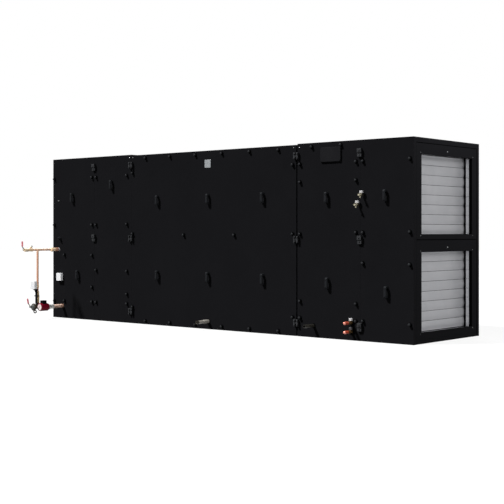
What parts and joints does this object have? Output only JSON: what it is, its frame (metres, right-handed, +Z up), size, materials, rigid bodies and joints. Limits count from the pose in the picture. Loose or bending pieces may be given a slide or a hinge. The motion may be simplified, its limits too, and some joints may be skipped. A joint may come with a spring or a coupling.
{
  "type": "air handling unit",
  "caption": "Long panel-built air handling unit in sections, with louvred dampers in its ends, lift-off service panels, drains, coil pipe ends and a pump and mixing valve set.",
  "frame": {"origin": "centre of the underside of the casing", "axes": "+X along the unit towards the end with the moving dampers, -Y out of the service side, +Z up"},
  "size_m": [5.5, 1.856, 2.05],
  "materials": {
    "casing_paint": "black polyester powder coat, satin",
    "damper_frame": "mill finish extrusion",
    "damper_blade": "mill finish aerofoil extrusion",
    "black_moulding": "moulded black nylon",
    "black_bracket": "black painted steel",
    "white_housing": "white moulded housing",
    "drain_pvc": "beige PVC pipe",
    "drain_steel": "dark painted steel tube",
    "coil_copper": "bare copper, lightly tarnished",
    "cock_brass": "cast brass",
    "white_cap": "white moulded cap",
    "pipe_copper": "copper tube, dulled",
    "union_brass": "machined brass",
    "valve_plated": "nickel plated",
    "lever_red": "red dipped lever",
    "valve_iron": "grey cast iron",
    "mixing_bronze": "cast bronze",
    "motor_red": "red enamel"
  },
  "bodies": {
    "casing": {"floor_panels": "casing_paint", "roof_panels": "casing_paint", "back_panels": "casing_paint", "deck_panels": "casing_paint", "right_end_upper_panel": "casing_paint", "right_end_lower_panel": "casing_paint", "left_end_upper_panel": "casing_paint", "left_end_lower_panel": "casing_paint", "front_panel_1": "casing_paint", "front_panel_2": "casing_paint", "front_panel_3": "casing_paint", "front_panel_4": "casing_paint", "front_panel_5": "casing_paint", "control_cover": "casing_paint", "upper_damper_frame": "damper_frame", "lower_damper_frame": "damper_frame", "left_damper_frames": "damper_frame", "left_damper_blades": "damper_blade", "panel_knobs": "black_moulding", "panel_handles": "black_moulding", "seam_clamps": "black_bracket", "section_brackets": "black_bracket", "junction_box": "white_housing", "middle_drain": "drain_pvc", "right_drain": "drain_steel", "coil_pipe_ends": "coil_copper", "coil_cocks": "cock_brass", "cock_caps": "white_cap", "return_pipe": "pipe_copper", "pipe_unions": "union_brass", "bypass_pipe": "pipe_copper", "flow_pipes": "pipe_copper", "balancing_valve": "union_brass", "return_ball_valve": "valve_plated", "flow_ball_valve": "valve_iron", "mixing_valve": "mixing_bronze", "valve_yoke": "black_bracket", "valve_actuator": "white_housing", "pump_volute": "valve_iron", "pump_motor": "motor_red", "pump_terminal_box": "black_moulding"},
    "upper_blade_1": {"upper_blade_1": "damper_blade"},
    "upper_blade_2": {"upper_blade_2": "damper_blade"},
    "upper_blade_3": {"upper_blade_3": "damper_blade"},
    "upper_blade_4": {"upper_blade_4": "damper_blade"},
    "upper_blade_5": {"upper_blade_5": "damper_blade"},
    "upper_blade_6": {"upper_blade_6": "damper_blade"},
    "upper_blade_7": {"upper_blade_7": "damper_blade"},
    "upper_blade_8": {"upper_blade_8": "damper_blade"},
    "lower_blade_1": {"lower_blade_1": "damper_blade"},
    "lower_blade_2": {"lower_blade_2": "damper_blade"},
    "lower_blade_3": {"lower_blade_3": "damper_blade"},
    "lower_blade_4": {"lower_blade_4": "damper_blade"},
    "lower_blade_5": {"lower_blade_5": "damper_blade"},
    "lower_blade_6": {"lower_blade_6": "damper_blade"},
    "lower_blade_7": {"lower_blade_7": "damper_blade"},
    "lower_blade_8": {"lower_blade_8": "damper_blade"},
    "return_lever": {"return_lever": "lever_red"},
    "flow_lever": {"flow_lever": "lever_red"}
  },
  "joints": [
    {"name": "upper_blade_1_turn", "type": "hinge", "parent": "casing", "child": "upper_blade_1", "pos_m": [2.648, 0, 1.138], "axis": [0, 1, 0], "range_deg": [0, 90]},
    {"name": "upper_blade_2_turn", "type": "hinge", "parent": "casing", "child": "upper_blade_2", "pos_m": [2.648, 0, 1.238], "axis": [0, -1, 0], "range_deg": [0, 90]},
    {"name": "upper_blade_3_turn", "type": "hinge", "parent": "casing", "child": "upper_blade_3", "pos_m": [2.648, 0, 1.338], "axis": [0, 1, 0], "range_deg": [0, 90]},
    {"name": "upper_blade_4_turn", "type": "hinge", "parent": "casing", "child": "upper_blade_4", "pos_m": [2.648, 0, 1.438], "axis": [0, -1, 0], "range_deg": [0, 90]},
    {"name": "upper_blade_5_turn", "type": "hinge", "parent": "casing", "child": "upper_blade_5", "pos_m": [2.648, 0, 1.538], "axis": [0, 1, 0], "range_deg": [0, 90]},
    {"name": "upper_blade_6_turn", "type": "hinge", "parent": "casing", "child": "upper_blade_6", "pos_m": [2.648, 0, 1.638], "axis": [0, -1, 0], "range_deg": [0, 90]},
    {"name": "upper_blade_7_turn", "type": "hinge", "parent": "casing", "child": "upper_blade_7", "pos_m": [2.648, 0, 1.738], "axis": [0, 1, 0], "range_deg": [0, 90]},
    {"name": "upper_blade_8_turn", "type": "hinge", "parent": "casing", "child": "upper_blade_8", "pos_m": [2.648, 0, 1.838], "axis": [0, -1, 0], "range_deg": [0, 90]},
    {"name": "lower_blade_1_turn", "type": "hinge", "parent": "casing", "child": "lower_blade_1", "pos_m": [2.648, 0, 0.16], "axis": [0, 1, 0], "range_deg": [0, 90]},
    {"name": "lower_blade_2_turn", "type": "hinge", "parent": "casing", "child": "lower_blade_2", "pos_m": [2.648, 0, 0.26], "axis": [0, -1, 0], "range_deg": [0, 90]},
    {"name": "lower_blade_3_turn", "type": "hinge", "parent": "casing", "child": "lower_blade_3", "pos_m": [2.648, 0, 0.36], "axis": [0, 1, 0], "range_deg": [0, 90]},
    {"name": "lower_blade_4_turn", "type": "hinge", "parent": "casing", "child": "lower_blade_4", "pos_m": [2.648, 0, 0.46], "axis": [0, -1, 0], "range_deg": [0, 90]},
    {"name": "lower_blade_5_turn", "type": "hinge", "parent": "casing", "child": "lower_blade_5", "pos_m": [2.648, 0, 0.56], "axis": [0, 1, 0], "range_deg": [0, 90]},
    {"name": "lower_blade_6_turn", "type": "hinge", "parent": "casing", "child": "lower_blade_6", "pos_m": [2.648, 0, 0.66], "axis": [0, -1, 0], "range_deg": [0, 90]},
    {"name": "lower_blade_7_turn", "type": "hinge", "parent": "casing", "child": "lower_blade_7", "pos_m": [2.648, 0, 0.76], "axis": [0, 1, 0], "range_deg": [0, 90]},
    {"name": "lower_blade_8_turn", "type": "hinge", "parent": "casing", "child": "lower_blade_8", "pos_m": [2.648, 0, 0.86], "axis": [0, -1, 0], "range_deg": [0, 90]},
    {"name": "return_lever_turn", "type": "hinge", "parent": "casing", "child": "return_lever", "pos_m": [-2.679, -1.184, 0.882], "axis": [1, 0, 0], "range_deg": [0, 90]},
    {"name": "flow_lever_turn", "type": "hinge", "parent": "casing", "child": "flow_lever", "pos_m": [-2.701, -1.063, 0.155], "axis": [1, 0, 0], "range_deg": [-12, 78]}
  ],
  "couplings": [
    {"joint": "upper_blade_2_turn", "follows": "upper_blade_1_turn", "ratio": 1},
    {"joint": "upper_blade_3_turn", "follows": "upper_blade_1_turn", "ratio": 1},
    {"joint": "upper_blade_4_turn", "follows": "upper_blade_1_turn", "ratio": 1},
    {"joint": "upper_blade_5_turn", "follows": "upper_blade_1_turn", "ratio": 1},
    {"joint": "upper_blade_6_turn", "follows": "upper_blade_1_turn", "ratio": 1},
    {"joint": "upper_blade_7_turn", "follows": "upper_blade_1_turn", "ratio": 1},
    {"joint": "upper_blade_8_turn", "follows": "upper_blade_1_turn", "ratio": 1},
    {"joint": "lower_blade_2_turn", "follows": "lower_blade_1_turn", "ratio": 1},
    {"joint": "lower_blade_3_turn", "follows": "lower_blade_1_turn", "ratio": 1},
    {"joint": "lower_blade_4_turn", "follows": "lower_blade_1_turn", "ratio": 1},
    {"joint": "lower_blade_5_turn", "follows": "lower_blade_1_turn", "ratio": 1},
    {"joint": "lower_blade_6_turn", "follows": "lower_blade_1_turn", "ratio": 1},
    {"joint": "lower_blade_7_turn", "follows": "lower_blade_1_turn", "ratio": 1},
    {"joint": "lower_blade_8_turn", "follows": "lower_blade_1_turn", "ratio": 1}
  ]
}
